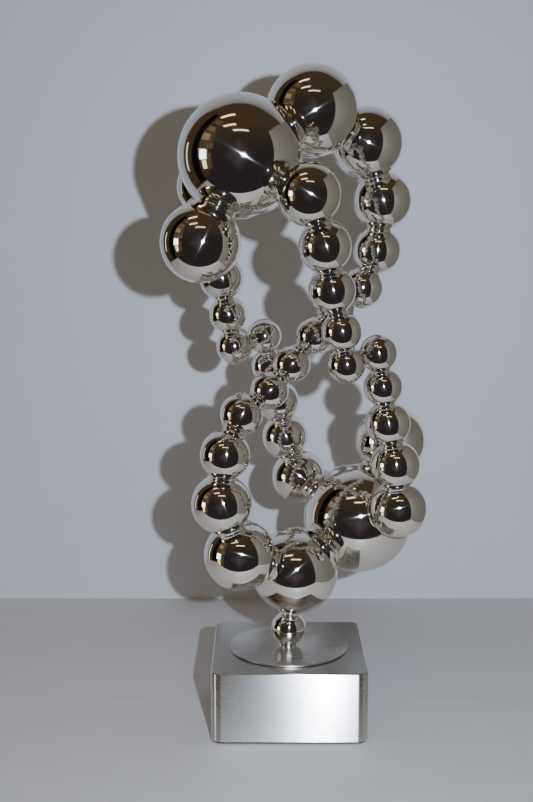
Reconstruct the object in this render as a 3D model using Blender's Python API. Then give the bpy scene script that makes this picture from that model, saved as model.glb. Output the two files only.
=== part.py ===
"""Polished ball sculpture on a square base with a turntable disc.

Two hub balls are joined by three strands of graded hollow balls. The lower half of the
sculpture is the upper half turned through the sculpture's centre point. Everything above
the base turns about the vertical axis of the base.
Units are metres. The origin is on the floor under the turntable's axis, +Z is up.
"""

import math

import bmesh
import bpy
from mathutils import Matrix, Vector

MM = 0.001

# Base
BASE_WIDTH = 160.0 * MM
BASE_HEIGHT = 72.5 * MM
BASE_CORNER_RADIUS = 11.0 * MM
BASE_EDGE_EASE = 1.5 * MM
BASE_WALL = 3.0 * MM
PAD_THICKNESS = 2.0 * MM
PAD_INSET = 2.0 * MM
PLATE_THICKNESS = 3.0 * MM
PLATE_RECESS = 4.0 * MM
BOSS_RADIUS = 6.5 * MM
BOSS_LENGTH = 16.0 * MM
BOSS_WALL_OVERLAP = 0.7 * MM
SCREW_RADIUS = 2.5 * MM
SCREW_HEAD_RADIUS = 4.2 * MM
SCREW_HEAD_HEIGHT = 2.5 * MM
SCREW_LENGTH = 12.0 * MM
BALLAST_SHARE = 0.65
BALLAST_HEIGHT = 34.0 * MM
BALLAST_CORNER_RADIUS = 4.0 * MM

# Turntable
DISC_DIAMETER = 126.0 * MM
DISC_THICKNESS = 1.5 * MM
DISC_EDGE_EASE = 0.3 * MM
STUD_RADIUS = 6.0 * MM
STUD_TAIL = 3.0 * MM
BUSH_WALL = 3.0 * MM
BUSH_FLANGE_WIDTH = 5.0 * MM
BUSH_FLANGE_THICKNESS = 2.0 * MM
SLIP_RING_RADIUS = 52.0 * MM
SLIP_RING_WIDTH = 14.0 * MM
SLIP_RING_THICKNESS = 1.0 * MM
SLIP_RING_STANDING = 0.2 * MM
WASHER_RADIUS = 11.0 * MM
WASHER_THICKNESS = 1.6 * MM
SPRING_WASHER_RADIUS = 10.0 * MM
SPRING_WASHER_THICKNESS = 1.2 * MM
NUT_ACROSS_FLATS = 19.0 * MM
NUT_THICKNESS = 8.0 * MM

# Balls, named from a hub towards the waist
HUB_DIAMETER = 118.0 * MM
SIDE_DIAMETER = 76.0 * MM
FOOT_DIAMETER = 37.0 * MM
LONG_ARM_DIAMETERS = tuple(d * MM for d in (91.0, 73.5, 60.5, 50.0, 43.0, 38.5, 38.0))
SHORT_ARM_DIAMETERS = tuple(d * MM for d in (59.5, 50.0, 45.5, 38.5, 37.0))
BALL_WALL = 1.5 * MM

# Necks: short collars between neighbouring balls
NECK_SHARE = 0.50
NECK_HEIGHT = 3.0 * MM
WAIST_GAP = 0.6 * MM
COLLAR_WALL = 1.5 * MM
FOOT_COLLAR_RADIUS = 9.0 * MM
VENT_RADIUS = 3.0 * MM

# Clearances
SEAT_GAP = 0.3 * MM
RUNNING_GAP = 0.1 * MM

# Layout of the upper half about the sculpture's centre. A length of 1 is the hub's height
# above that centre, which is the short arm's length along its balls times SHORT_ARM_REACH.
SHORT_ARM_REACH = 0.739
HUB_PLACE = (-0.327, -0.330, 1.0)
LONG_ARM_PATH = (
    (0.042, -0.071, 1.236),
    (0.338, 0.149, 1.077),
    (0.426, 0.236, 0.780),
    (0.404, 0.270, 0.511),
    (0.321, 0.187, 0.314),
    (0.173, 0.104, 0.198),
)
FRONT_ARM_PATH = ((0.008, -0.565, 0.814), (0.129, -0.425, 0.346), (0.178, -0.417, 0.143))
BACK_ARM_PATH = ((-0.508, 0.050, 0.848), (-0.437, 0.165, 0.364))
WAIST_JOINT = (0.292, -0.308, -0.012)
WAIST_JOINT_AXIS = (0.854, 0.462, 0.238)
SIDE_BALL_AXIS = (-0.398, -0.283, -0.873)
FOOT_AXIS = (-0.100, 0.0, -0.995)

# Laying the arms out
SPLINE_STEPS = 60
BOW_LIMITS = (0.2, 2.5)
HALVINGS = 50

# Facets
ROUND_SEGMENTS = 32
BOSS_SEGMENTS = 16
SCREW_SEGMENTS = 12
NUT_SIDES = 6
CORNER_SEGMENTS = 5
EASE_SEGMENTS = 3
LARGE_RADIUS = 50.0 * MM
MEDIUM_RADIUS = 28.0 * MM
LARGE_FACETS = (20, 10, 5)
MEDIUM_FACETS = (14, 8, 4)
SMALL_FACETS = (12, 6, 3)

SMOOTH_ANGLE = math.radians(35.0)
MERGE_DISTANCE = 0.001 * MM
CUTTER_OVERRUN = 1.0 * MM


# ---------------------------------------------------------------- materials and objects


def make_material(name, colour, metallic, roughness):
    material = bpy.data.materials.new(name)
    material.use_nodes = True
    shader = material.node_tree.nodes["Principled BSDF"]
    shader.inputs["Base Color"].default_value = (*colour, 1.0)
    shader.inputs["Metallic"].default_value = metallic
    shader.inputs["Roughness"].default_value = roughness
    return material


def add_object(name, bm, material, parent, smooth=True):
    bmesh.ops.recalc_face_normals(bm, faces=bm.faces)
    mesh = bpy.data.meshes.new(name)
    bm.to_mesh(mesh)
    bm.free()
    mesh.materials.append(material)
    if smooth:
        mesh.shade_smooth()
        mesh.set_sharp_from_angle(angle=SMOOTH_ANGLE)
    obj = bpy.data.objects.new(name, mesh)
    bpy.context.scene.collection.objects.link(obj)
    obj.parent = parent
    return obj


def add_anchor(name, location):
    anchor = bpy.data.objects.new(name, None)
    anchor.location = location
    bpy.context.scene.collection.objects.link(anchor)
    return anchor


def add_boolean(obj, tool, operation):
    tool.hide_render = True
    tool.display_type = "WIRE"
    modifier = obj.modifiers.new(tool.name, "BOOLEAN")
    modifier.operation = operation
    modifier.solver = "EXACT"
    modifier.object = tool


def turned(profile, segments, closed):
    """A solid of revolution about Z. profile holds (radius, z) points."""
    bm = bmesh.new()
    points = [bm.verts.new((radius, 0.0, z)) for radius, z in profile]
    for first, second in zip(points, points[1:]):
        bm.edges.new((first, second))
    if closed:
        bm.edges.new((points[-1], points[0]))
    bmesh.ops.spin(
        bm,
        geom=bm.verts[:] + bm.edges[:],
        axis=(0.0, 0.0, 1.0),
        cent=(0.0, 0.0, 0.0),
        angle=math.tau,
        steps=segments,
        use_merge=True,
    )
    bmesh.ops.remove_doubles(bm, verts=bm.verts, dist=MERGE_DISTANCE)
    return bm


def ring(inner, outer, bottom, top, segments=ROUND_SEGMENTS):
    return turned([(inner, bottom), (outer, bottom), (outer, top), (inner, top)], segments, True)


def rod(radius, bottom, top, segments=ROUND_SEGMENTS):
    return turned([(0.0, bottom), (radius, bottom), (radius, top), (0.0, top)], segments, False)


def rounded_block(width, bottom, top, corner, top_ease=0.0):
    """A square prism with rounded upright edges and, if asked, an eased top edge."""
    bm = bmesh.new()
    size = Matrix.Diagonal((width, width, top - bottom, 1.0))
    bmesh.ops.create_cube(bm, size=1.0, matrix=Matrix.Translation((0, 0, (top + bottom) / 2)) @ size)
    upright = [e for e in bm.edges if abs(e.verts[0].co.z - e.verts[1].co.z) > (top - bottom) / 2]
    bmesh.ops.bevel(bm, geom=upright, offset=corner, segments=CORNER_SEGMENTS, profile=0.5, affect="EDGES")
    if top_ease > 0.0:
        height = top - top_ease / 2
        rim = [e for e in bm.edges if min(v.co.z for v in e.verts) > height]
        bmesh.ops.bevel(bm, geom=rim, offset=top_ease, segments=EASE_SEGMENTS, profile=0.5, affect="EDGES")
    return bm


# ---------------------------------------------------------------- necks between balls


def collar_radius(first, second):
    """Outer radius of the collar between balls of these two radii."""
    return NECK_SHARE * min(first, second)


def neck_distance(first, second):
    """Distance between the centres of two joined balls."""
    rim = collar_radius(first, second)
    return math.sqrt(first**2 - rim**2) + math.sqrt(second**2 - rim**2) + NECK_HEIGHT


def waist_distance(radius):
    """Distance between the centres of the two equal balls that meet at a waist."""
    return 2 * radius + WAIST_GAP


def arc(radius, start, end, steps):
    """Points of an arc in the (radius, z) plane. Angles run from +Z."""
    turns = [start + (end - start) * k / steps for k in range(steps + 1)]
    return [(radius * math.sin(t), radius * math.cos(t)) for t in turns]


def facets(radius):
    """(segments round the axis, outer arc steps, inner arc steps) for a ball."""
    if radius > LARGE_RADIUS:
        return LARGE_FACETS
    if radius > MEDIUM_RADIUS:
        return MEDIUM_FACETS
    return SMALL_FACETS


def shell_profile(radius, opening, rim_points):
    """Outer skin from the far pole to an opening, its rim, then the inner skin back."""
    inner = radius - BALL_WALL
    segments, outer_steps, inner_steps = facets(radius)
    edge = math.asin(rim_points[0][0] / radius)
    mouth = math.asin(opening / inner)
    outside = arc(radius, math.pi, edge, outer_steps)
    inside = arc(inner, mouth, math.pi, inner_steps)
    outside[0] = (0.0, -radius)
    inside[-1] = (0.0, -inner)
    return outside + rim_points[1:] + inside, segments


def collared_ball(radius, neighbour):
    """A hollow ball with its collar along +Z, ending just short of the neighbouring ball."""
    outer = collar_radius(radius, neighbour)
    inner = outer - COLLAR_WALL
    reach = neck_distance(radius, neighbour)
    end_outer = reach - math.sqrt(neighbour**2 - outer**2) - SEAT_GAP
    end_inner = reach - math.sqrt(neighbour**2 - inner**2) - SEAT_GAP
    start = math.sqrt(radius**2 - outer**2)
    rim = [(outer, start), (outer, end_outer), (inner, end_inner)]
    profile, segments = shell_profile(radius, inner, rim)
    return turned(profile, segments, False)


def vented_ball(radius):
    """A hollow ball with a small vent hole at +Z, hidden inside the next ball's collar."""
    rim = [(VENT_RADIUS, math.sqrt(radius**2 - VENT_RADIUS**2))]
    profile, segments = shell_profile(radius, VENT_RADIUS, rim)
    return turned(profile, segments, False)


def loose_collar(radius):
    """The collar between the two equal last balls of a strand, along Z about the origin."""
    outer = collar_radius(radius, radius)
    inner = outer - COLLAR_WALL
    half = waist_distance(radius) / 2
    end_outer = half - math.sqrt(radius**2 - outer**2) - SEAT_GAP
    end_inner = half - math.sqrt(radius**2 - inner**2) - SEAT_GAP
    profile = [(inner, -end_inner), (outer, -end_outer), (outer, end_outer), (inner, end_inner)]
    return turned(profile, facets(radius)[0], True)


def aim(centre, target):
    """A placement with +Z pointing from centre to target."""
    return Matrix.Translation(centre) @ (target - centre).to_track_quat("Z", "Y").to_matrix().to_4x4()


# ---------------------------------------------------------------- paths of the arms


def spline(points):
    """A smooth line through points, as a dense list."""
    ends = [2 * points[0] - points[1], *points, 2 * points[-1] - points[-2]]
    line = []
    for before, start, end, after in zip(ends, ends[1:], ends[2:], ends[3:]):
        for k in range(SPLINE_STEPS):
            t = k / SPLINE_STEPS
            line.append(
                0.5
                * (
                    2 * start
                    + (end - before) * t
                    + (2 * before - 5 * start + 4 * end - after) * t**2
                    + (3 * start - before - 3 * end + after) * t**3
                )
            )
    line.append(points[-1].copy())
    return line


def bowed(start, through, end, bow):
    """The points start, through and end, with the middle ones moved off the chord by bow."""
    chord = end - start
    moved = []
    for point in through:
        foot = start + chord * ((point - start).dot(chord) / chord.length_squared)
        moved.append(foot + (point - foot) * bow)
    return [start, *moved, end]


def walk(line, steps):
    """Places along line that are steps apart, measured straight. Stops at the line's end."""
    places = []
    here = line[0]
    index = 1
    for step in steps:
        while index < len(line) and (line[index] - here).length < step:
            index += 1
        if index >= len(line):
            return places
        near = line[index - 1]
        far = line[index]
        low, high = 0.0, 1.0
        for _ in range(HALVINGS):
            middle = (low + high) / 2
            if (near.lerp(far, middle) - here).length < step:
                low = middle
            else:
                high = middle
        here = near.lerp(far, low)
        places.append(here)
    return places


def arm_places(start, through, end, steps):
    """Bows the path until balls set steps apart from start reach end exactly.

    Returns the ball centres between start and end.
    """
    low, high = BOW_LIMITS
    for _ in range(HALVINGS):
        bow = (low + high) / 2
        places = walk(spline(bowed(start, through, end, bow)), steps[:-1])
        if len(places) == len(steps) - 1 and (end - places[-1]).length > steps[-1]:
            high = bow
        else:
            low = bow
    return walk(spline(bowed(start, through, end, high)), steps[:-1])


def steps_between(radii):
    return [neck_distance(a, b) for a, b in zip(radii, radii[1:])]


def upper_half():
    """Centres of the upper half's balls about the sculpture's centre, as {arm: [centres]}."""
    hub_radius = HUB_DIAMETER / 2
    long_radii = [d / 2 for d in LONG_ARM_DIAMETERS]
    short_radii = [d / 2 for d in SHORT_ARM_DIAMETERS]
    long_steps = steps_between([hub_radius, *long_radii])
    long_steps.append(waist_distance(long_radii[-1]) / 2)
    short_steps = steps_between([hub_radius, *short_radii])
    rise = SHORT_ARM_REACH * sum(short_steps)
    hub = Vector(HUB_PLACE) * rise
    half_joint = Vector(WAIST_JOINT_AXIS).normalized() * waist_distance(short_radii[-1]) / 2
    joint = Vector(WAIST_JOINT) * rise
    front_end = joint - half_joint
    back_end = -joint - half_joint
    side = hub + Vector(SIDE_BALL_AXIS).normalized() * neck_distance(hub_radius, SIDE_DIAMETER / 2)
    long_path = [Vector(p) * rise for p in LONG_ARM_PATH]
    front_path = [Vector(p) * rise for p in FRONT_ARM_PATH]
    back_path = [Vector(p) * rise for p in BACK_ARM_PATH]
    return {
        "hub": [hub],
        "side": [side],
        "long": arm_places(hub, long_path, Vector(), long_steps),
        "front": [*arm_places(hub, front_path, front_end, short_steps), front_end],
        "back": [*arm_places(hub, back_path, back_end, short_steps), back_end],
    }


# ---------------------------------------------------------------- sculpture


def add_arm(prefix, centre, hub, places, diameters, material, parent):
    """One arm of collared balls. Each collar points to the ball nearer the hub."""
    previous = centre + hub
    previous_radius = HUB_DIAMETER / 2
    for number, (place, diameter) in enumerate(zip(places, diameters), 1):
        here = centre + place
        radius = diameter / 2
        bm = collared_ball(radius, previous_radius)
        bmesh.ops.transform(bm, matrix=aim(here, previous), verts=bm.verts)
        add_object(f"{prefix}_ball_{number}", bm, material, parent)
        previous = here
        previous_radius = radius


def add_waist_collar(name, first, second, radius, material, parent):
    bm = loose_collar(radius)
    bmesh.ops.transform(bm, matrix=aim((first + second) / 2, second), verts=bm.verts)
    add_object(name, bm, material, parent)


def add_hub(name, hub, first_ball, side, material, parent):
    """A hub ball, vented towards its long arm's first ball, and its side ball."""
    bm = vented_ball(HUB_DIAMETER / 2)
    bmesh.ops.transform(bm, matrix=aim(hub, first_ball), verts=bm.verts)
    add_object(f"{name}_hub_ball", bm, material, parent)
    bm = collared_ball(SIDE_DIAMETER / 2, HUB_DIAMETER / 2)
    bmesh.ops.transform(bm, matrix=aim(side, hub), verts=bm.verts)
    add_object(f"{name}_side_ball", bm, material, parent)


def build_sculpture(foot, material, parent):
    """All the balls above the foot ball, whose centre is foot."""
    half = upper_half()
    long_first = half["long"][0]
    foot_reach = neck_distance(LONG_ARM_DIAMETERS[0] / 2, FOOT_DIAMETER / 2)
    centre = foot - Vector(FOOT_AXIS).normalized() * foot_reach + long_first
    for name, sign in (("top", 1.0), ("bottom", -1.0)):
        hub = half["hub"][0] * sign
        side = half["side"][0] * sign
        add_hub(name, centre + hub, centre + long_first * sign, centre + side, material, parent)
        turned_half = {arm: [place * sign for place in places] for arm, places in half.items()}
        front, back = ("front", "back") if sign > 0 else ("back", "front")
        add_arm(f"long_{name}", centre, hub, turned_half["long"], LONG_ARM_DIAMETERS, material, parent)
        add_arm(f"front_{name}", centre, hub, turned_half[front], SHORT_ARM_DIAMETERS, material, parent)
        add_arm(f"back_{name}", centre, hub, turned_half[back], SHORT_ARM_DIAMETERS, material, parent)
    long_end = half["long"][-1]
    front_end = half["front"][-1]
    back_end = half["back"][-1]
    long_radius = LONG_ARM_DIAMETERS[-1] / 2
    short_radius = SHORT_ARM_DIAMETERS[-1] / 2
    for arm, upper, lower, radius in (
        ("long", long_end, -long_end, long_radius),
        ("front", front_end, -back_end, short_radius),
        ("back", back_end, -front_end, short_radius),
    ):
        add_waist_collar(f"{arm}_waist_collar", centre + upper, centre + lower, radius, material, parent)
    return centre - long_first


def build_foot(foot, lowest_long_ball, disc_top, material, parent):
    """The foot ball, collared up to the lowest long-strand ball, and the collar under it."""
    bm = collared_ball(FOOT_DIAMETER / 2, LONG_ARM_DIAMETERS[0] / 2)
    bmesh.ops.transform(bm, matrix=aim(foot, lowest_long_ball), verts=bm.verts)
    add_object("foot_ball", bm, material, parent)
    radius = FOOT_DIAMETER / 2
    outer = FOOT_COLLAR_RADIUS
    inner = outer - COLLAR_WALL
    top_outer = foot.z - math.sqrt(radius**2 - outer**2) - SEAT_GAP
    top_inner = foot.z - math.sqrt(radius**2 - inner**2) - SEAT_GAP
    bottom = disc_top + SEAT_GAP
    profile = [(inner, bottom), (outer, bottom), (outer, top_outer), (inner, top_inner)]
    add_object("foot_collar", turned(profile, ROUND_SEGMENTS, True), material, parent)


# ---------------------------------------------------------------- turntable


def running_bore(radius):
    """Radius of a faceted hole whose flats clear a turning shaft of this radius."""
    return (radius + RUNNING_GAP) / math.cos(math.pi / ROUND_SEGMENTS)


def build_turntable(box_top, steel, polymer, bronze, base, sculpture):
    """The disc, its bearing pieces and its fastening. Returns the height of the disc's top."""
    ring_top = box_top + SLIP_RING_STANDING
    ring_bottom = ring_top - SLIP_RING_THICKNESS
    slip_ring = ring(SLIP_RING_RADIUS - SLIP_RING_WIDTH, SLIP_RING_RADIUS, ring_bottom, ring_top)
    add_object("slip_ring", slip_ring, polymer, base)

    disc_bottom = ring_top + SEAT_GAP
    disc_top = disc_bottom + DISC_THICKNESS
    rim = DISC_DIAMETER / 2
    ease = DISC_EDGE_EASE
    hole = STUD_RADIUS + SEAT_GAP
    profile = [
        (hole, disc_bottom),
        (rim - ease, disc_bottom),
        (rim, disc_bottom + ease),
        (rim, disc_top - ease),
        (rim - ease, disc_top),
        (hole, disc_top),
    ]
    add_object("turntable_disc", turned(profile, 2 * ROUND_SEGMENTS, True), steel, sculpture)

    box_under = box_top - BASE_WALL
    bore = running_bore(STUD_RADIUS)
    body = bore + BUSH_WALL
    flange = body + BUSH_FLANGE_WIDTH
    flange_top = box_under - SEAT_GAP
    flange_bottom = flange_top - BUSH_FLANGE_THICKNESS
    profile = [
        (bore, flange_bottom),
        (flange, flange_bottom),
        (flange, flange_top),
        (body, flange_top),
        (body, box_top),
        (bore, box_top),
    ]
    add_object("pivot_bush", turned(profile, ROUND_SEGMENTS, True), bronze, base)

    spring_top = flange_bottom - SEAT_GAP
    spring_bottom = spring_top - SPRING_WASHER_THICKNESS
    washer_top = spring_bottom - SEAT_GAP
    washer_bottom = washer_top - WASHER_THICKNESS
    nut_top = washer_bottom - SEAT_GAP
    nut_bottom = nut_top - NUT_THICKNESS
    spring_washer = ring(hole, SPRING_WASHER_RADIUS, spring_bottom, spring_top)
    add_object("spring_washer", spring_washer, steel, sculpture)
    washer = ring(hole, WASHER_RADIUS, washer_bottom, washer_top)
    add_object("retaining_washer", washer, steel, sculpture)
    build_nut(hole, nut_bottom, nut_top, steel, sculpture)
    stud_bottom = nut_bottom - STUD_TAIL
    add_object("pivot_stud", rod(STUD_RADIUS, stud_bottom, disc_top), steel, sculpture)
    return disc_top


def build_nut(hole, bottom, top, material, parent):
    corner = NUT_ACROSS_FLATS / math.sqrt(3.0)
    nut = add_object("lock_nut", rod(corner, bottom, top, NUT_SIDES), material, parent, smooth=False)
    bore = rod(hole, bottom - CUTTER_OVERRUN, top + CUTTER_OVERRUN)
    cutter = add_object("lock_nut_bore", bore, material, parent)
    add_boolean(nut, cutter, "DIFFERENCE")


# ---------------------------------------------------------------- base


def screw_places():
    """Centres of the four corner bosses, as (x, y)."""
    offset = BASE_WIDTH / 2 - BASE_WALL - BOSS_RADIUS + BOSS_WALL_OVERLAP
    return [(x * offset, y * offset) for x in (-1, 1) for y in (-1, 1)]


def build_base(box_bottom, steel, cast, rubber, parent):
    """The box, its floor, screws, ballast and pad."""
    box_top = box_bottom + BASE_HEIGHT
    box = add_object(
        "base_box",
        rounded_block(BASE_WIDTH, box_bottom, box_top, BASE_CORNER_RADIUS, BASE_EDGE_EASE),
        steel,
        parent,
    )
    inner_width = BASE_WIDTH - 2 * BASE_WALL
    inner_corner = BASE_CORNER_RADIUS - BASE_WALL
    hollow = rounded_block(inner_width, box_bottom - CUTTER_OVERRUN, box_top - BASE_WALL, inner_corner)
    add_boolean(box, add_object("base_box_hollow", hollow, steel, parent), "DIFFERENCE")

    plate_bottom = box_bottom + PLATE_RECESS
    plate_top = plate_bottom + PLATE_THICKNESS
    boss_bottom = plate_top + SEAT_GAP
    boss_top = boss_bottom + BOSS_LENGTH
    for number, (x, y) in enumerate(screw_places(), 1):
        post = rod(BOSS_RADIUS, boss_bottom, boss_top, BOSS_SEGMENTS)
        boss = add_object(f"base_box_boss_{number}", post, steel, parent)
        boss.location = (x, y, 0.0)
        add_boolean(box, boss, "UNION")
        thread_top = boss_bottom + SCREW_LENGTH
        hole = rod(SCREW_RADIUS + SEAT_GAP, boss_bottom - CUTTER_OVERRUN, thread_top, SCREW_SEGMENTS)
        tapping = add_object(f"base_box_tapping_{number}", hole, steel, parent)
        tapping.location = (x, y, 0.0)
        add_boolean(box, tapping, "DIFFERENCE")

    bush_hole = running_bore(STUD_RADIUS) + BUSH_WALL + SEAT_GAP
    mouth = rod(bush_hole, box_top - 2 * BASE_WALL, box_top + CUTTER_OVERRUN)
    add_boolean(box, add_object("base_box_mouth", mouth, steel, parent), "DIFFERENCE")

    groove_floor = box_top + SLIP_RING_STANDING - SLIP_RING_THICKNESS - SEAT_GAP
    groove_inner = SLIP_RING_RADIUS - SLIP_RING_WIDTH - SEAT_GAP
    groove = ring(groove_inner, SLIP_RING_RADIUS + SEAT_GAP, groove_floor, box_top + CUTTER_OVERRUN)
    add_boolean(box, add_object("base_box_groove", groove, steel, parent), "DIFFERENCE")

    plate_width = inner_width - 2 * SEAT_GAP
    plate_blank = rounded_block(plate_width, plate_bottom, plate_top, inner_corner)
    plate = add_object("bottom_plate", plate_blank, steel, parent)
    hole_bottom = plate_bottom - CUTTER_OVERRUN
    hole_top = plate_top + CUTTER_OVERRUN
    for number, (x, y) in enumerate(screw_places(), 1):
        hole = rod(SCREW_RADIUS + SEAT_GAP, hole_bottom, hole_top, SCREW_SEGMENTS)
        clearance = add_object(f"bottom_plate_hole_{number}", hole, steel, parent)
        clearance.location = (x, y, 0.0)
        add_boolean(plate, clearance, "DIFFERENCE")
        screw = add_object(f"base_screw_{number}", screw_solid(plate_bottom), steel, parent)
        screw.location = (x, y, 0.0)

    ballast_bottom = plate_top + SEAT_GAP
    ballast_top = ballast_bottom + BALLAST_HEIGHT
    ballast = rounded_block(BALLAST_SHARE * BASE_WIDTH, ballast_bottom, ballast_top, BALLAST_CORNER_RADIUS)
    add_object("ballast_block", ballast, cast, parent)

    pad_width = BASE_WIDTH - 2 * PAD_INSET
    pad = rounded_block(pad_width, 0.0, PAD_THICKNESS, BASE_CORNER_RADIUS - PAD_INSET)
    add_object("base_pad", pad, rubber, parent)
    return box_top


def screw_solid(plate_bottom):
    """A pan-head screw entering from below, with its head under the plate."""
    head_top = plate_bottom - SEAT_GAP
    head_bottom = head_top - SCREW_HEAD_HEIGHT
    tip = plate_bottom + PLATE_THICKNESS + SCREW_LENGTH - 2 * SCREW_RADIUS
    profile = [
        (0.0, head_bottom),
        (SCREW_HEAD_RADIUS, head_bottom),
        (SCREW_HEAD_RADIUS, head_top),
        (SCREW_RADIUS, head_top),
        (SCREW_RADIUS, tip),
        (0.0, tip),
    ]
    return turned(profile, SCREW_SEGMENTS, False)


# ---------------------------------------------------------------- build


def clear_scene():
    for obj in list(bpy.data.objects):
        bpy.data.objects.remove(obj)


def main():
    clear_scene()
    mirror_steel = make_material("mirror_steel", (0.80, 0.80, 0.79), 1.0, 0.04)
    brushed_steel = make_material("brushed_steel", (0.62, 0.62, 0.61), 1.0, 0.34)
    cast_iron = make_material("cast_iron", (0.12, 0.12, 0.12), 0.8, 0.7)
    bronze = make_material("bronze", (0.55, 0.38, 0.20), 1.0, 0.35)
    nylon = make_material("nylon", (0.05, 0.05, 0.05), 0.0, 0.5)
    rubber = make_material("rubber", (0.03, 0.03, 0.03), 0.0, 0.8)

    base = add_anchor("base_anchor", (0.0, 0.0, 0.0))
    sculpture = add_anchor("turntable_axis", (0.0, 0.0, 0.0))

    box_top = build_base(PAD_THICKNESS + SEAT_GAP, brushed_steel, cast_iron, rubber, base)
    disc_top = build_turntable(box_top, brushed_steel, nylon, bronze, base, sculpture)
    foot = Vector((0.0, 0.0, disc_top + SEAT_GAP + FOOT_DIAMETER / 2))
    lowest_long_ball = build_sculpture(foot, mirror_steel, sculpture)
    build_foot(foot, lowest_long_ball, disc_top, mirror_steel, sculpture)


main()
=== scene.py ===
import bpy
import math
import numpy
from mathutils import Matrix, Vector


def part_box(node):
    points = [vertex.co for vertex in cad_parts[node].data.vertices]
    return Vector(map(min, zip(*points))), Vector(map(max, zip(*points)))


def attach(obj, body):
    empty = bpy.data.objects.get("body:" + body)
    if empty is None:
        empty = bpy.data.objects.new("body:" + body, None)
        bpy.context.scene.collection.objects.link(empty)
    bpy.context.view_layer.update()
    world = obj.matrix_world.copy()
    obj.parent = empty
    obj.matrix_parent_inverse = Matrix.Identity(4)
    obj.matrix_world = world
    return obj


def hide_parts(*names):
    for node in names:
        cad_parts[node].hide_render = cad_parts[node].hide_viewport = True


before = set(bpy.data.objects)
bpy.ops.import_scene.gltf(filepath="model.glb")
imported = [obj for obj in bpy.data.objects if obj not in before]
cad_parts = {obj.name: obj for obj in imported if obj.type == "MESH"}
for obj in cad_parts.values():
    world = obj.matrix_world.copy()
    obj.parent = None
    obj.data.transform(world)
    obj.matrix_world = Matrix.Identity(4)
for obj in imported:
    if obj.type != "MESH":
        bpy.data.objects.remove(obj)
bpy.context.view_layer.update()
print("frame loaded")

scene = bpy.context.scene
mm = 0.001
hair = 0.01 * mm  # heights closer than this count as the same


# selection, shading and placing

def clearSelection():
    if bpy.context.object is not None and bpy.context.object.mode != "OBJECT":
        bpy.ops.object.mode_set(mode="OBJECT")
    bpy.ops.object.select_all(action="DESELECT")


def pickOnly(piece):
    clearSelection()
    piece.select_set(True)
    bpy.context.view_layer.objects.active = piece


def editMode():
    bpy.ops.object.mode_set(mode="EDIT")


def objectMode():
    bpy.ops.object.mode_set(mode="OBJECT")


def selectOpenEdge():
    bpy.ops.mesh.select_mode(type="EDGE")
    bpy.ops.mesh.select_all(action="DESELECT")
    bpy.ops.mesh.select_non_manifold(extend=False)


def selectEdges(piece, wanted):
    # ends in edit mode with just the edges selected whose two ends pass the test
    editMode()
    bpy.ops.mesh.select_mode(type="EDGE")
    bpy.ops.mesh.select_all(action="DESELECT")
    objectMode()
    for edge in piece.data.edges:
        first, second = [piece.data.vertices[k].co for k in edge.vertices]
        edge.select = wanted(first, second)
    editMode()


def pullRing(outline):
    # takes the open round edge through the (radius, height) places in turn
    radius, height = outline[0]
    for nextRadius, nextHeight in outline[1:]:
        bpy.ops.mesh.extrude_edges_move(TRANSFORM_OT_translate={"value": (0, 0, nextHeight - height)})
        share = nextRadius / radius
        bpy.ops.transform.resize(value=(share, share, 1))
        radius, height = nextRadius, nextHeight


def placeCopy(master, name, place):
    copy = bpy.data.objects.new(name, master.data.copy())
    copy.data.transform(place)
    scene.collection.objects.link(copy)
    return copy


def discard(piece):
    bpy.data.objects.remove(piece)


def finishPiece(piece, body, slotName, *nodes):
    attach(piece, body)
    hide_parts(*nodes)


# camera

cameraView = {
    "place": (-23.4 * mm, -1278 * mm, 541.7 * mm),
    "lookDown": math.radians(8.96),
    "lens": 56.07,
}


def setCamera():
    data = bpy.data.cameras.new("camera")
    data.lens = cameraView["lens"]
    data.sensor_width = 36
    camera = bpy.data.objects.new("camera", data)
    camera.location = cameraView["place"]
    camera.rotation_euler = (math.pi / 2 - cameraView["lookDown"], 0, 0)
    scene.collection.objects.link(camera)
    scene.camera = camera


setCamera()
print("camera set")


# finishes

def newFinish(name):
    finish = bpy.data.materials.new(name)
    finish.use_nodes = True
    nodes = finish.node_tree.nodes
    links = finish.node_tree.links
    return finish, nodes, links, nodes["Principled BSDF"]


def addNoise(nodes, links, source, scale, detail, stretch=None):
    noise = nodes.new("ShaderNodeTexNoise")
    noise.inputs["Scale"].default_value = scale
    noise.inputs["Detail"].default_value = detail
    if stretch is not None:
        mapping = nodes.new("ShaderNodeMapping")
        mapping.inputs["Scale"].default_value = stretch
        links.new(source, mapping.inputs["Vector"])
        source = mapping.outputs["Vector"]
    links.new(source, noise.inputs["Vector"])
    return noise.outputs["Fac"]


def addRange(nodes, links, source, low, high, fromLow=0.3, fromHigh=0.7):
    span = nodes.new("ShaderNodeMapRange")
    span.inputs["From Min"].default_value = fromLow
    span.inputs["From Max"].default_value = fromHigh
    span.inputs["To Min"].default_value = low
    span.inputs["To Max"].default_value = high
    links.new(source, span.inputs["Value"])
    return span.outputs["Result"]


def addColours(nodes, links, source, stops):
    ramp = nodes.new("ShaderNodeValToRGB")
    ramp.color_ramp.elements[0].position = stops[0][0]
    ramp.color_ramp.elements[0].color = (*stops[0][1], 1)
    ramp.color_ramp.elements[1].position = stops[-1][0]
    ramp.color_ramp.elements[1].color = (*stops[-1][1], 1)
    for place, colour in stops[1:-1]:
        ramp.color_ramp.elements.new(place).color = (*colour, 1)
    links.new(source, ramp.inputs["Fac"])
    return ramp.outputs["Color"]


def addBump(nodes, links, shader, height, distance, strength=1.0):
    bump = nodes.new("ShaderNodeBump")
    bump.inputs["Distance"].default_value = distance
    bump.inputs["Strength"].default_value = strength
    links.new(height, bump.inputs["Height"])
    links.new(bump.outputs["Normal"], shader.inputs["Normal"])


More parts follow.
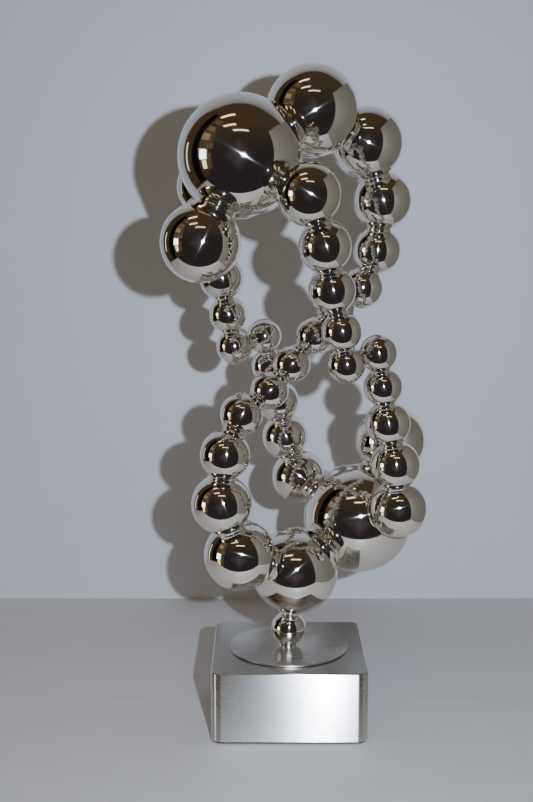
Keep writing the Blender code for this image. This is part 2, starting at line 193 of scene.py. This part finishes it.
mirrorLook = {
    "bright": (0.87, 0.84, 0.78),
    "smudged": (0.82, 0.79, 0.73),
    "roughLow": 0.040,
    "roughHigh": 0.058,
    "smudgeScale": 28,
    "smudgeStops": (0.35, 0.65),
    "smudgeRange": (0.35, 0.6),
    "speckleScale": 420,
    "speckleDepth": 0.002 * mm,
    "polishStreak": 1.0,  # buffed round the ball's axis, so a light draws a line along it
}

quarterTurn = 0.25  # turns a finish's pull across its lines


def mirrorFinish(name, streaked):
    finish, nodes, links, shader = newFinish(name)
    where = nodes.new("ShaderNodeTexCoord").outputs["Object"]
    smudge = addNoise(nodes, links, where, mirrorLook["smudgeScale"], 4)
    speckle = addNoise(nodes, links, where, mirrorLook["speckleScale"], 2)
    dullStop, brightStop = mirrorLook["smudgeStops"]
    stops = [(dullStop, mirrorLook["smudged"]), (brightStop, mirrorLook["bright"])]
    colour = addColours(nodes, links, smudge, stops)
    links.new(colour, shader.inputs["Base Color"])
    rough = addRange(nodes, links, smudge, mirrorLook["roughHigh"], mirrorLook["roughLow"],
                     *mirrorLook["smudgeRange"])
    links.new(rough, shader.inputs["Roughness"])
    addBump(nodes, links, shader, speckle, mirrorLook["speckleDepth"])
    shader.inputs["Metallic"].default_value = 1
    if streaked:
        shader.inputs["Anisotropic"].default_value = mirrorLook["polishStreak"]
        shader.inputs["Anisotropic Rotation"].default_value = quarterTurn
        around = nodes.new("ShaderNodeTangent")
        around.direction_type = "UV_MAP"
        links.new(around.outputs["Tangent"], shader.inputs["Tangent"])
    return finish


mirrorSteel = mirrorFinish("mirrorSteel", True)
collarSteel = mirrorFinish("collarSteel", False)


def addGrooves(nodes, links, shader, lines, leanLow, leanHigh):
    # level brush lines: the polished side of each leans up a little, some more and some less
    lean = nodes.new("ShaderNodeCombineXYZ")
    links.new(addRange(nodes, links, lines, leanLow, leanHigh), lean.inputs["Z"])
    total = nodes.new("ShaderNodeVectorMath")
    total.operation = "ADD"
    links.new(nodes.new("ShaderNodeNewGeometry").outputs["Normal"], total.inputs[0])
    links.new(lean.outputs["Vector"], total.inputs[1])
    even = nodes.new("ShaderNodeVectorMath")
    even.operation = "NORMALIZE"
    links.new(total.outputs["Vector"], even.inputs[0])
    links.new(even.outputs["Vector"], shader.inputs["Normal"])


brushLook = {
    "lineScale": 60,
    "cloudScale": 22,
    "cloudShare": 0.5,
    "grooveLean": (0.11, 0.20),
}

boxSteelLook = {
    "tones": ((0.56, 0.54, 0.50), (0.76, 0.735, 0.69)),  # the duller and the brighter tone
    "stretch": (1.5, 1.5, 60),
    "rough": (0.25, 0.28),
    "lineDepth": None,  # leaning grooves instead of a bump
    "grainPull": 1.0,
}

# the box's top: the same brushed steel as its sides, with darker tones that are painted shade on the upward
# face
shadePaintedTopSteelLook = {
    "tones": ((0.42, 0.40, 0.365), (0.57, 0.545, 0.505)),
    "stretch": (1.5, 40, 40),
    "rough": (0.26, 0.36),
    "lineDepth": 0.006 * mm,
    "grainPull": 0.2,
}

# the disc: the same brushed steel as the box, with darker tones that are painted shade on its upward face
shadePaintedDiscSteelLook = {
    "tones": ((0.50, 0.475, 0.435), (0.66, 0.635, 0.585)),
    "stretch": (1.5, 40, 40),
    "rough": (0.24, 0.32),
    "lineDepth": 0.004 * mm,
    "grainPull": 0.3,
}


def brushedFinish(name, look):
    finish, nodes, links, shader = newFinish(name)
    where = nodes.new("ShaderNodeTexCoord").outputs["Object"]
    lines = addNoise(nodes, links, where, brushLook["lineScale"], 6, look["stretch"])
    clouds = addNoise(nodes, links, where, brushLook["cloudScale"], 3)
    dull, bright = look["tones"]
    colour = addColours(nodes, links, lines, [(0.3, dull), (0.7, bright)])
    links.new(colour, shader.inputs["Base Color"])
    both = nodes.new("ShaderNodeMix")
    both.inputs["Factor"].default_value = brushLook["cloudShare"]
    links.new(lines, both.inputs[2])
    links.new(clouds, both.inputs[3])
    rough = addRange(nodes, links, both.outputs[0], *look["rough"])
    links.new(rough, shader.inputs["Roughness"])
    if look["lineDepth"] is None:
        addGrooves(nodes, links, shader, lines, *brushLook["grooveLean"])
    else:
        addBump(nodes, links, shader, lines, look["lineDepth"])
    shader.inputs["Metallic"].default_value = 1
    shader.inputs["Anisotropic"].default_value = look["grainPull"]
    shader.inputs["Anisotropic Rotation"].default_value = quarterTurn
    around = nodes.new("ShaderNodeTangent")
    around.direction_type = "RADIAL"
    around.axis = "Z"
    links.new(around.outputs["Tangent"], shader.inputs["Tangent"])
    return finish


boxSteel = brushedFinish("boxSteel", boxSteelLook)
shadePaintedTopSteel = brushedFinish("shadePaintedTopSteel", shadePaintedTopSteelLook)
shadePaintedDiscSteel = brushedFinish("shadePaintedDiscSteel", shadePaintedDiscSteelLook)
print("finishes made")


# balls: each is turned with its collar towards the ball nearer its hub

ballSizes = {
    "hub": 118 * mm,
    "side": 76 * mm,
    "long": [d * mm for d in (91, 73.5, 60.5, 50, 43, 38.5, 38)],
    "short": [d * mm for d in (59.5, 50, 45.5, 38.5, 37)],
    "foot": 37 * mm,
}

ballMeshes = [(50 * mm, 128, 80), (28 * mm, 96, 60), (0, 72, 44)]  # above this radius: segments, rings
ballSmooth = math.radians(50)
fitReaches = (3, 2, 1, 0.5, 0.3, 0.2, 0.1, 0.1, 0.1)  # mm off the ball that still counts, pass by pass

collarLook = {
    "share": 0.50,  # collar radius over the smaller ball's radius
    "weld": 0.8 * mm,  # size of the weld fillet on each side
    "sink": 0.3 * mm,  # how far the end goes into the next ball
    "weldRise": 1.2,  # fillet height over its width
    "weldSteps": 4,
    "sides": 72,
    "footSeat": 0.1 * mm,  # how far the foot collar goes into the disc
    "footEase": 0.35,  # where the foot collar's upper fillet bends, as a share of its width
}


def findCentre(node, radius):
    # the centre of the ball of this radius that the node's own points lie on
    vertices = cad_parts[node].data.vertices
    points = numpy.empty(len(vertices) * 3)
    vertices.foreach_get("co", points)
    points = points.reshape(-1, 3)
    low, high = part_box(node)
    centre = numpy.array((low + high) / 2)
    for reach in fitReaches:
        away = points - centre
        distance = numpy.linalg.norm(away, axis=1)
        away /= distance[:, None]
        short = distance - radius
        weight = 1 / (1 + (short / (reach * mm)) ** 2) ** 2
        matrix = (away * weight[:, None]).T @ away
        centre = centre + numpy.linalg.solve(matrix, away.T @ (weight * short))
    return Vector(centre)


def weldCurve(start, end):
    # a hollow quarter curve between two (radius, height) places
    steps = collarLook["weldSteps"]
    places = []
    for k in range(1, steps + 1):
        turn = k / steps * math.pi / 2
        radius = start[0] + (end[0] - start[0]) * math.sin(turn)
        height = start[1] + (end[1] - start[1]) * (1 - math.cos(turn))
        places.append((radius, height))
    return places


def collarOutline(radius, nextRadius, distance):
    collar = collarLook["share"] * min(radius, nextRadius)
    weld = collarLook["weld"]
    rise = weld * collarLook["weldRise"]
    foot = collar + weld
    start = math.sqrt(radius**2 - foot**2)
    end = distance - math.sqrt(nextRadius**2 - foot**2)
    outline = [(foot, start)]
    outline += weldCurve(outline[0], (collar, start + rise))
    outline.append((collar, end - rise))
    back = [(foot, end)] + weldCurve((foot, end), (collar, end - rise))
    outline += back[-2::-1]
    outline.append((foot, end + collarLook["sink"]))
    return outline


def ballFacets(radius):
    for least, around, upward in ballMeshes:
        if radius > least:
            return around, upward


def makeBall(name, radius):
    around, upward = ballFacets(radius)
    bpy.ops.mesh.primitive_uv_sphere_add(segments=around, ring_count=upward, radius=radius,
                                         location=(0, 0, 0))
    ball = bpy.context.object
    ball.name = name
    return ball


def finishBall(ball, collarHeight=None):
    pickOnly(ball)
    bpy.ops.object.shade_smooth_by_angle(angle=ballSmooth)
    ball.data.materials.append(mirrorSteel)
    ball.data.materials.append(collarSteel)
    if collarHeight is not None:
        for face in ball.data.polygons:
            face.material_index = 1 if face.center.z > collarHeight else 0


def turnedBall(name, radius, nextRadius, distance):
    clearSelection()
    ball = makeBall(name, radius)
    outline = collarOutline(radius, nextRadius, distance)
    editMode()
    bpy.ops.mesh.select_all(action="SELECT")
    bpy.ops.mesh.bisect(plane_co=(0, 0, outline[0][1]), plane_no=(0, 0, 1), clear_outer=True)
    selectOpenEdge()
    pullRing(outline)
    objectMode()
    finishBall(ball, outline[0][1])
    return ball


def aim(centre, target):
    return Matrix.Translation(centre) @ (target - centre).to_track_quat("Z", "Y").to_matrix().to_4x4()


def pieceName(node):
    words = node.split("_")
    return words[0] + "".join(word.capitalize() for word in words[1:])


def armNodes(arm, half, count):
    return [f"{arm}_{half}_ball_{k}" for k in range(1, count + 1)]


centres = {}
masters = {}


def placeBall(node, radius, target, nextRadius):
    # the same turned ball is used wherever the same two sizes meet
    centre = centres[node]
    key = (round(radius / mm, 1), round(nextRadius / mm, 1))
    if key not in masters:
        masters[key] = turnedBall("master", radius, nextRadius, (target - centre).length)
    ball = placeCopy(masters[key], pieceName(node), aim(centre, target))
    finishPiece(ball, "sculpture", "mirror_steel", node)


def placeRoundBall(node, radius, target):
    clearSelection()
    ball = makeBall(pieceName(node), radius)
    ball.data.transform(aim(centres[node], target))
    finishBall(ball)
    finishPiece(ball, "sculpture", "mirror_steel", node)


def buildBalls():
    hubRadius = ballSizes["hub"] / 2
    sideRadius = ballSizes["side"] / 2
    for half in ("top", "bottom"):
        hub = f"{half}_hub_ball"
        side = f"{half}_side_ball"
        centres[hub] = findCentre(hub, hubRadius)
        centres[side] = findCentre(side, sideRadius)
        placeBall(side, sideRadius, centres[hub], hubRadius)
        for arm, sizes in (("long", "long"), ("front", "short"), ("back", "short")):
            lastPlace = centres[hub]
            lastRadius = hubRadius
            for node, size in zip(armNodes(arm, half, len(ballSizes[sizes])), ballSizes[sizes]):
                centres[node] = findCentre(node, size / 2)
                placeBall(node, size / 2, lastPlace, lastRadius)
                lastPlace = centres[node]
                lastRadius = size / 2
        placeRoundBall(hub, hubRadius, centres[f"front_{half}_ball_1"])
    footRadius = ballSizes["foot"] / 2
    centres["foot_ball"] = findCentre("foot_ball", footRadius)
    placeBall("foot_ball", footRadius, centres["long_bottom_ball_1"], ballSizes["long"][0] / 2)


def ringCollar(name, outline):
    # a round sleeve through the (radius, height) places
    clearSelection()
    radius, height = outline[0]
    bpy.ops.mesh.primitive_circle_add(vertices=collarLook["sides"], radius=radius, location=(0, 0, 0))
    sleeve = bpy.context.object
    sleeve.name = name
    sleeve.data.transform(Matrix.Translation((0, 0, height)))
    editMode()
    bpy.ops.mesh.select_all(action="SELECT")
    pullRing(outline)
    bpy.ops.mesh.select_all(action="SELECT")
    bpy.ops.mesh.normals_make_consistent(inside=False)
    objectMode()
    finishBall(sleeve, -1)  # below the whole sleeve, so every face takes the collar finish
    return sleeve


def waistCollar(node, firstNode, secondNode, radius):
    first = centres[firstNode]
    second = centres[secondNode]
    outline = collarOutline(radius, radius, (second - first).length)
    outline.insert(0, (outline[0][0], outline[0][1] - collarLook["sink"]))
    sleeve = ringCollar(pieceName(node), outline)
    sleeve.data.transform(aim(first, second))
    finishPiece(sleeve, "sculpture", "mirror_steel", node)


def footCollar():
    low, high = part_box("foot_collar")
    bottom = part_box("turntable_disc")[1].z
    radius = (high.x - low.x) / 2
    weld = collarLook["weld"]
    foot = radius + weld
    ease = weld * collarLook["footEase"]
    ball = ballSizes["foot"] / 2
    centre = centres["foot_ball"].z
    top = centre - math.sqrt(ball**2 - foot**2)
    outline = [(foot, bottom - collarLook["footSeat"]), (foot, bottom)]
    outline += weldCurve((foot, bottom), (radius, bottom + weld))
    outline.append((radius, top - weld))
    outline += [(radius + ease, top - ease), (foot, top), (foot, top + collarLook["sink"])]
    sleeve = ringCollar("footCollar", outline)
    finishPiece(sleeve, "sculpture", "mirror_steel", "foot_collar")


buildBalls()
waistCollar("long_waist_collar", "long_top_ball_7", "long_bottom_ball_7", ballSizes["long"][-1] / 2)
waistCollar("front_waist_collar", "front_top_ball_5", "front_bottom_ball_5", ballSizes["short"][-1] / 2)
waistCollar("back_waist_collar", "back_top_ball_5", "back_bottom_ball_5", ballSizes["short"][-1] / 2)
footCollar()
for master in masters.values():
    discard(master)
print("balls turned and placed")


# base and disc

boxLook = {
    "corner": 11 * mm,
    "edge": 1.6 * mm,
    "wall": 3 * mm,
    "cornerSteps": 14,
    "edgeSteps": 5,
}

discLook = {
    "edge": 0.35 * mm,
    "edgeSteps": 4,
    "sides": 160,
}

baseSmooth = math.radians(40)
facing = 0.9  # a face counts as facing up or down when its normal's height passes this


def squareBox():
    low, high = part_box("base_box")
    clearSelection()
    bpy.ops.mesh.primitive_cube_add(size=1, location=(0, 0, 0))
    box = bpy.context.object
    box.name = "baseBox"
    size = high - low
    box.data.transform(Matrix.Translation((low + high) / 2) @ Matrix.Diagonal((size.x, size.y, size.z, 1)))
    selectEdges(box, lambda first, second: abs(first.z - second.z) > size.z / 2)
    bpy.ops.mesh.bevel(offset=boxLook["corner"], segments=boxLook["cornerSteps"], profile=0.5)
    bpy.ops.mesh.select_mode(type="FACE")
    bpy.ops.mesh.select_all(action="DESELECT")
    objectMode()
    for face in box.data.polygons:
        face.select = face.normal.z < -facing
    editMode()
    bpy.ops.mesh.inset(thickness=boxLook["wall"])
    bpy.ops.mesh.extrude_region_move(TRANSFORM_OT_translate={"value": (0, 0, size.z - boxLook["wall"])})
    selectEdges(box, lambda first, second: min(first.z, second.z) > high.z - hair)
    bpy.ops.mesh.bevel(offset=boxLook["edge"], segments=boxLook["edgeSteps"], profile=0.5)
    objectMode()
    pickOnly(box)
    bpy.ops.object.shade_smooth_by_angle(angle=baseSmooth)
    box.data.materials.append(boxSteel)
    box.data.materials.append(shadePaintedTopSteel)
    # faces that look up take the steel with painted shade in its tones
    for face in box.data.polygons:
        face.material_index = 1 if face.normal.z > facing else 0
    finishPiece(box, "base", "brushed_steel", "base_box")


def roundDisc():
    low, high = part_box("turntable_disc")
    radius = (high.x - low.x) / 2
    thickness = high.z - low.z
    clearSelection()
    bpy.ops.mesh.primitive_cylinder_add(vertices=discLook["sides"], radius=radius, depth=thickness,
                                        location=(0, 0, 0))
    disc = bpy.context.object
    disc.name = "turntableDisc"
    disc.data.transform(Matrix.Translation((0, 0, (high.z + low.z) / 2)))
    selectEdges(disc, lambda first, second: abs(first.z - second.z) < hair)
    bpy.ops.mesh.bevel(offset=discLook["edge"], segments=discLook["edgeSteps"], profile=0.5)
    objectMode()
    pickOnly(disc)
    bpy.ops.object.shade_smooth_by_angle(angle=baseSmooth)
    disc.data.materials.append(shadePaintedDiscSteel)
    finishPiece(disc, "sculpture", "brushed_steel", "turntable_disc")


squareBox()
roundDisc()
print("base and disc made")


# finishes of the pieces that keep their own shape

plainLooks = {
    "machinedSteel": {
        "dark": (0.42, 0.42, 0.42),
        "light": (0.56, 0.56, 0.55),
        "metallic": 1,
        "rough": (0.25, 0.4),
        "grain": 300,
        "depth": 0.01 * mm,
    },
    "castIron": {
        "dark": (0.05, 0.05, 0.05),
        "light": (0.11, 0.11, 0.11),
        "metallic": 0.6,
        "rough": (0.6, 0.85),
        "grain": 700,
        "depth": 0.25 * mm,
    },
    "bronze": {
        "dark": (0.42, 0.27, 0.12),
        "light": (0.58, 0.40, 0.20),
        "metallic": 1,
        "rough": (0.25, 0.45),
        "grain": 400,
        "depth": 0.01 * mm,
    },
    "nylon": {
        "dark": (0.02, 0.02, 0.02),
        "light": (0.045, 0.045, 0.045),
        "metallic": 0,
        "rough": (0.4, 0.6),
        "grain": 500,
        "depth": 0.01 * mm,
    },
    "padRubber": {
        "dark": (0.012, 0.012, 0.012),
        "light": (0.035, 0.034, 0.033),
        "metallic": 0,
        "rough": (0.7, 0.95),
        "grain": 900,
        "depth": 0.08 * mm,
    },
}


def plainFinish(name):
    look = plainLooks[name]
    finish, nodes, links, shader = newFinish(name)
    where = nodes.new("ShaderNodeTexCoord").outputs["Object"]
    grain = addNoise(nodes, links, where, look["grain"], 5)
    stops = [(0.3, look["dark"]), (0.7, look["light"])]
    links.new(addColours(nodes, links, grain, stops), shader.inputs["Base Color"])
    links.new(addRange(nodes, links, grain, *look["rough"]), shader.inputs["Roughness"])
    addBump(nodes, links, shader, grain, look["depth"])
    shader.inputs["Metallic"].default_value = look["metallic"]
    return finish


def dress(finish, *nodeNames):
    for name in nodeNames:
        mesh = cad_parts[name].data
        mesh.materials.clear()
        mesh.materials.append(finish)


machinedSteel = plainFinish("machinedSteel")
castIron = plainFinish("castIron")
bronze = plainFinish("bronze")
nylon = plainFinish("nylon")
padRubber = plainFinish("padRubber")

dress(boxSteel, "bottom_plate")
dress(machinedSteel, "pivot_stud", "spring_washer", "retaining_washer", "lock_nut")
dress(machinedSteel, *[f"base_screw_{k}" for k in range(1, 5)])
dress(castIron, "ballast_block")
dress(bronze, "pivot_bush")
dress(nylon, "slip_ring")
dress(padRubber, "base_pad")
print("carried pieces dressed")


# floor, wall and light

stageLook = {
    "tableFront": -300 * mm,
    "wallPlace": 395 * mm,
    "wallLeft": -850 * mm,
    "wallRight": 1200 * mm,
    "wallTop": 2400 * mm,
    "reach": 6,
    "fadeStart": 0.85,
    "fadeEnd": 1.7,
    "behind": 0.6 * mm,
    "panelPlace": 430 * mm,
    "panelFront": -320 * mm,
    "panelTop": 970 * mm,
    "tableColour": (0.61, 0.60, 0.585),
    # the table as the mirrors see it, painted lighter and warmer than the floor the camera sees: painted
    # light in its reflections
    "mirroredTableWithPaintedLight": (0.68, 0.66, 0.60),
    "wallColour": (0.56, 0.565, 0.58),
    "panelColour": (0.34, 0.31, 0.25),
    "backdrop": (0.38, 0.40, 0.43),
}


paintLook = {
    "table": (0.94, 6, (1, 5, 5)),  # share left in the duller patches, their scale and stretch
    "wall": (0.97, 4, (1, 1, 1)),
    "panel": (0.95, 4, (1, 1, 1)),
    "rough": 0.6,
}


def mathNode(nodes, links, operation, first, second=None):
    node = nodes.new("ShaderNodeMath")
    node.operation = operation
    for socket, value in zip(node.inputs, (first, second)):
        if value is None:
            continue
        if isinstance(value, (int, float)):
            socket.default_value = value
        else:
            links.new(value, socket)
    return node.outputs["Value"]


def mixColour(nodes, links, mask, under, over):
    mix = nodes.new("ShaderNodeMix")
    mix.data_type = "RGBA"
    links.new(mask, mix.inputs["Factor"])
    links.new(under, mix.inputs[6])
    mix.inputs[7].default_value = (*over, 1)
    return mix.outputs[2]


def stageFinish(name, colour, duller, scale, stretch):
    finish, nodes, links, shader = newFinish(name)
    where = nodes.new("ShaderNodeTexCoord").outputs["Object"]
    patches = addNoise(nodes, links, where, scale, 5, stretch)
    dark = [part * duller for part in colour]
    links.new(addColours(nodes, links, patches, [(0.3, dark), (0.7, colour)]), shader.inputs["Base Color"])
    shader.inputs["Roughness"].default_value = paintLook["rough"]
    return finish


def fadeAway(finish):
    # turns slowly into the backdrop's own tone, and shows only its front
    nodes = finish.node_tree.nodes
    links = finish.node_tree.links
    shader = nodes["Principled BSDF"]
    distance = nodes.new("ShaderNodeVectorMath")
    distance.operation = "LENGTH"
    links.new(nodes.new("ShaderNodeTexCoord").outputs["Object"], distance.inputs[0])
    far = addRange(nodes, links, distance.outputs["Value"], 0, 1,
                   stageLook["fadeStart"], stageLook["fadeEnd"])
    painted = shader.inputs["Base Color"].links[0].from_socket
    links.new(mixColour(nodes, links, far, painted, (0, 0, 0)), shader.inputs["Base Color"])
    shader.inputs["Emission Color"].default_value = (*stageLook["backdrop"], 1)
    links.new(far, shader.inputs["Emission Strength"])
    back = nodes.new("ShaderNodeNewGeometry").outputs["Backfacing"]
    links.new(mathNode(nodes, links, "SUBTRACT", 1, back), shader.inputs["Alpha"])
    return finish


def flatSheet(name, corners, finish, mirrored):
    # a sheet is seen either by the camera or by the mirrors
    mesh = bpy.data.meshes.new(name)
    mesh.from_pydata(corners, [], [tuple(range(len(corners)))])
    mesh.materials.append(finish)
    sheet = bpy.data.objects.new(name, mesh)
    scene.collection.objects.link(sheet)
    sheet.visible_camera = not mirrored
    sheet.visible_glossy = mirrored
    sheet.visible_diffuse = mirrored
    sheet.visible_shadow = False
    return sheet


def level(left, right, front, back, height):
    return [(left, front, height), (right, front, height), (right, back, height), (left, back, height)]


def upright(left, right, place, top):
    return [(left, place, 0), (right, place, 0), (right, place, top), (left, place, top)]


def buildStage():
    reach = stageLook["reach"]
    left = stageLook["wallLeft"]
    right = stageLook["wallRight"]
    wallPlace = stageLook["wallPlace"]
    behind = stageLook["behind"]
    tableColour = stageLook["tableColour"]
    wallColour = stageLook["wallColour"]
    floorPaint = fadeAway(stageFinish("floorPaint", tableColour, *paintLook["table"]))
    wallPaint = fadeAway(stageFinish("wallPaint", wallColour, *paintLook["wall"]))
    flatSheet("floor", level(-reach, reach, -reach, reach, 0), floorPaint, False)
    flatSheet("wall", upright(-reach, reach, wallPlace, reach), wallPaint, False)
    # the mirrors see a table with a front edge, a narrower wall and a panel at the right
    # the mirrors' table is painted lighter and warmer than the camera's floor, as painted light in the balls'
    # reflections
    tableWithPaintedLight = stageFinish("tableWithPaintedLight", stageLook["mirroredTableWithPaintedLight"], *paintLook["table"])
    mirrorPaint = stageFinish("mirrorPaint", wallColour, *paintLook["wall"])
    panelPaint = stageFinish("panelPaint", stageLook["panelColour"], *paintLook["panel"])
    flatSheet("tableTop", level(left, right, stageLook["tableFront"], wallPlace, -behind), tableWithPaintedLight, True)
    flatSheet("mirrorWall", upright(left, right, wallPlace + behind, stageLook["wallTop"]), mirrorPaint, True)
    side = stageLook["panelPlace"]
    front = stageLook["panelFront"]
    top = stageLook["panelTop"]
    corners = [(side, wallPlace, 0), (side, front, 0), (side, front, top), (side, wallPlace, top)]
    panel = flatSheet("sidePanel", corners, panelPaint, True)
    panel.visible_diffuse = False


buildStage()


def addAreaLight(name, place, target, size, power, colour):
    data = bpy.data.lights.new(name, "AREA")
    data.shape = "DISK"
    data.size = size
    data.energy = power
    data.color = colour
    lamp = bpy.data.objects.new(name, data)
    lamp.location = place
    lamp.rotation_euler = (Vector(target) - Vector(place)).to_track_quat("-Z", "Y").to_euler()
    scene.collection.objects.link(lamp)
    return lamp


lightPlan = {
    "flashPlace": (123 * mm, -1278 * mm, 587 * mm),
    "flashSize": 20 * mm,
    "flashPower": 23.5,
    "flashColour": (0.70, 0.80, 1.0),
    "glows": [  # size, power
        (30 * mm, 8),
        (60 * mm, 0.9),
        (110 * mm, 0.32),
        (180 * mm, 0.12),
        (280 * mm, 0.06),
    ],
    "glowStep": 5 * mm,  # how far each glow stands behind the one before
    "aimHeight": 360 * mm,
    "fillPlace": (-500 * mm, -900 * mm, 1900 * mm),
    "fillSize": 1.6,
    "fillPower": 4.5,
    "fillColour": (1, 0.85, 0.68),
}


def addLights():
    target = (0, 0, lightPlan["aimHeight"])
    place = lightPlan["flashPlace"]
    flashColour = lightPlan["flashColour"]
    addAreaLight("flash", place, target, lightPlan["flashSize"], lightPlan["flashPower"], flashColour)
    # soft discs behind the flash, seen only in the mirrors, give each highlight its glow
    for count, (size, power) in enumerate(lightPlan["glows"], 1):
        glowPlace = (place[0], place[1] - count * lightPlan["glowStep"], place[2])
        glow = addAreaLight(f"flashGlow{count}", glowPlace, target, size, power, flashColour)
        glow.visible_diffuse = False
    fill = addAreaLight("fill", lightPlan["fillPlace"], target, lightPlan["fillSize"], lightPlan["fillPower"],
                        lightPlan["fillColour"])
    fill.visible_glossy = False


addLights()


# the room that the polished balls mirror: patches by bearing and height, in degrees
# bearing 0 is towards the camera and grows to the right, height 0 is level

roomLook = {
    "deep": (0.026, 0.022, 0.023),
    "warm": (0.060, 0.040, 0.022),
    "shade": (0.124, 0.099, 0.070),  # light that reaches dull surfaces
    "haze": (0.130, 0.108, 0.125),
    "hazeReach": 34,
    "mottleScale": 5,
    "mottleSpread": (0.5, 1.3),
    "warmFrom": 8,
    "warmTo": 75,
    "warmStop": 0.7,
    "leastRise": 0.01,  # keeps the overhead plane from running off to nowhere
    "patchEdge": 0.6,
    "stripEdge": 0.015,
}

roomPatches = [  # bearing, height, half width, half height, colour
    (-100, 20, 38, 50, (0.055, 0.036, 0.020)),
    (-88, 2, 9, 60, (0.004, 0.004, 0.004)),
    (-66, 24, 15, 15, (0.085, 0.058, 0.032)),
    (-70, 28, 9, 5, (0.30, 0.23, 0.13)),
    (-66, 41, 10, 4, (0.17, 0.115, 0.06)),
    (-60, 54, 12, 4, (0.12, 0.08, 0.04)),
    (-57, 15, 7, 4, (0.13, 0.095, 0.055)),
    (-70, 2, 7, 7, (4.6, 4.7, 5.0)),
    (-68, -13, 4, 6, (2.4, 1.8, 1.0)),
    (-57, -8, 5, 12, (0.10, 0.07, 0.04)),
    (-113, 0, 1.6, 14, (1.6, 1.5, 1.3)),
]

ceilingStrips = [  # place across and along overhead, half width, half length, colour
    (-0.30, -0.22, 0.19, 0.028, (3.4, 2.7, 1.9)),
    (-0.335, -0.66, 0.22, 0.034, (3.0, 2.4, 1.7)),
    (0.07, -1.0, 0.32, 0.040, (2.4, 2.4, 1.4)),
]


def patchMask(nodes, links, across, up, patch, edgeWidth):
    # 1 inside the patch, falling to 0 over a soft edge
    masks = []
    for value, middle, half in ((across, patch[0], patch[2]), (up, patch[1], patch[3])):
        offset = mathNode(nodes, links, "ABSOLUTE", mathNode(nodes, links, "SUBTRACT", value, middle))
        masks.append(addRange(nodes, links, offset, 0, 1, half + edgeWidth, half - edgeWidth))
    return mathNode(nodes, links, "MULTIPLY", masks[0], masks[1])


def roomColour(nodes, links):
    where = nodes.new("ShaderNodeTexCoord").outputs["Generated"]
    split = nodes.new("ShaderNodeSeparateXYZ")
    links.new(where, split.inputs["Vector"])
    toCamera = mathNode(nodes, links, "MULTIPLY", split.outputs["Y"], -1)
    turn = mathNode(nodes, links, "ARCTAN2", split.outputs["X"], toCamera)
    bearing = mathNode(nodes, links, "DEGREES", turn)
    height = mathNode(nodes, links, "DEGREES", mathNode(nodes, links, "ARCSINE", split.outputs["Z"]))
    mottle = addNoise(nodes, links, where, roomLook["mottleScale"], 4)
    warmth = addRange(nodes, links, height, 0, 1, roomLook["warmFrom"], roomLook["warmTo"])
    spots = addRange(nodes, links, mottle, *roomLook["mottleSpread"])
    warmth = mathNode(nodes, links, "MULTIPLY", warmth, spots)
    stops = [(0, roomLook["deep"]), (roomLook["warmStop"], roomLook["warm"])]
    colour = addColours(nodes, links, warmth, stops)
    spread = mathNode(nodes, links, "ADD", mathNode(nodes, links, "ABSOLUTE", bearing),
                      mathNode(nodes, links, "ABSOLUTE", height))
    closeness = addRange(nodes, links, spread, 1, 0, 0, roomLook["hazeReach"])
    near = mathNode(nodes, links, "MULTIPLY", closeness, mottle)
    colour = mixColour(nodes, links, near, colour, roomLook["haze"])
    for patch in roomPatches:
        mask = patchMask(nodes, links, bearing, height, patch, roomLook["patchEdge"])
        colour = mixColour(nodes, links, mask, colour, patch[4])
    rise = mathNode(nodes, links, "MAXIMUM", split.outputs["Z"], roomLook["leastRise"])
    across = mathNode(nodes, links, "DIVIDE", split.outputs["X"], rise)
    along = mathNode(nodes, links, "DIVIDE", split.outputs["Y"], rise)
    for strip in ceilingStrips:
        mask = patchMask(nodes, links, across, along, strip, roomLook["stripEdge"])
        colour = mixColour(nodes, links, mask, colour, strip[4])
    return colour


def setWorld():
    world = bpy.data.worlds.new("studio")
    scene.world = world
    world.use_nodes = True
    nodes = world.node_tree.nodes
    links = world.node_tree.links
    shade = nodes["Background"]
    shade.inputs["Color"].default_value = (*roomLook["shade"], 1)
    room = nodes.new("ShaderNodeBackground")
    links.new(roomColour(nodes, links), room.inputs["Color"])
    pale = nodes.new("ShaderNodeBackground")
    pale.inputs["Color"].default_value = (*stageLook["backdrop"], 1)
    path = nodes.new("ShaderNodeLightPath")
    mirrored = nodes.new("ShaderNodeMixShader")
    links.new(path.outputs["Is Glossy Ray"], mirrored.inputs["Fac"])
    links.new(shade.outputs["Background"], mirrored.inputs[1])
    links.new(room.outputs["Background"], mirrored.inputs[2])
    seen = nodes.new("ShaderNodeMixShader")
    links.new(path.outputs["Is Camera Ray"], seen.inputs["Fac"])
    links.new(mirrored.outputs["Shader"], seen.inputs[1])
    links.new(pale.outputs["Background"], seen.inputs[2])
    links.new(seen.outputs["Shader"], nodes["World Output"].inputs["Surface"])


setWorld()
print("floor, wall and light ready")
